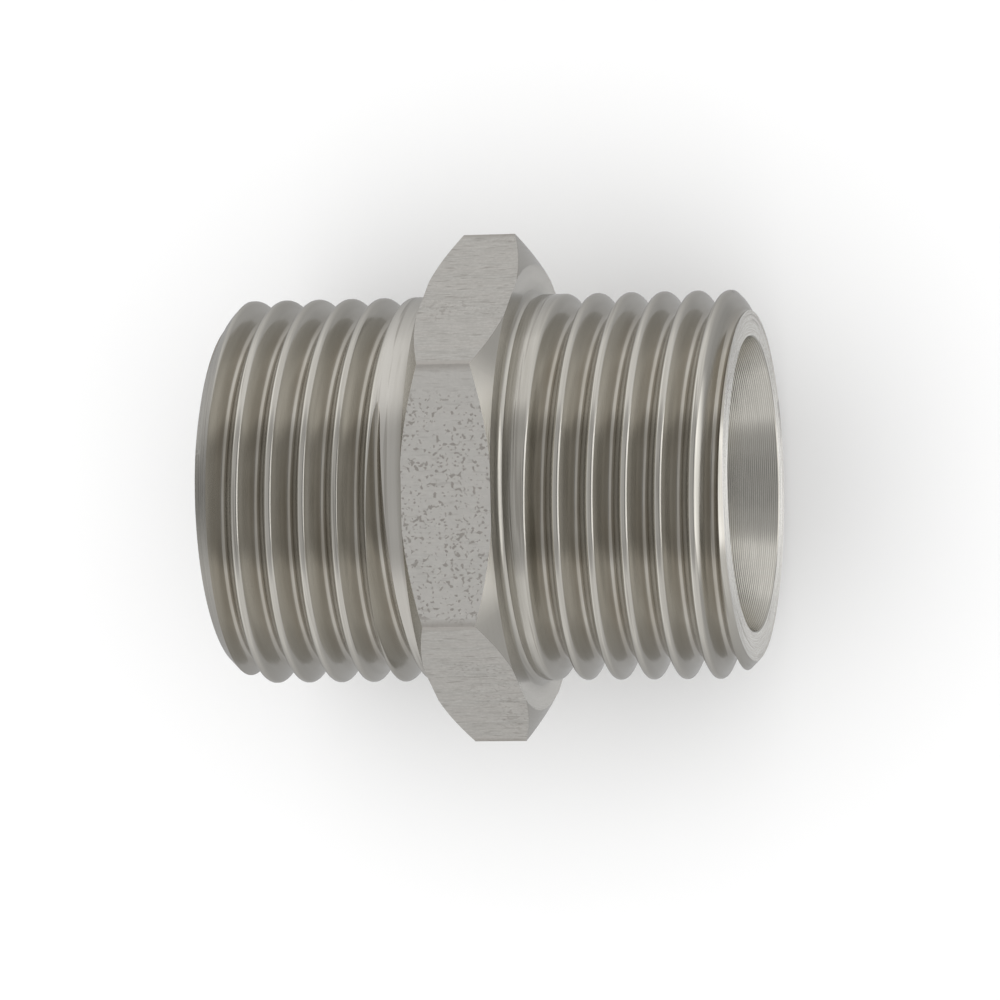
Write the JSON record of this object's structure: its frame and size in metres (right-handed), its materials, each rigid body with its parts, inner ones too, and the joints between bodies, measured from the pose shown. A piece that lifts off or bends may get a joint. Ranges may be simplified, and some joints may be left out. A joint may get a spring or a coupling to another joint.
{
  "type": "hex nipple",
  "caption": "Short stainless steel hex nipple: a one-piece pipe connector with a male parallel pipe thread on each end, a spanner hexagon between them and a bore right through.",
  "frame": {"origin": "middle of the hexagon, on the flow axis", "axes": "+X along the flow axis, two hexagon flats face +Z and -Z, two hexagon corners point to +Y and -Y"},
  "size_m": [0.0284, 0.0274, 0.0238],
  "materials": {
    "stainless_steel": "turned threads and cones, drawn hexagon flats with small pits"
  },
  "bodies": {
    "root": {"nipple_body": "stainless_steel"}
  },
  "joints": []
}
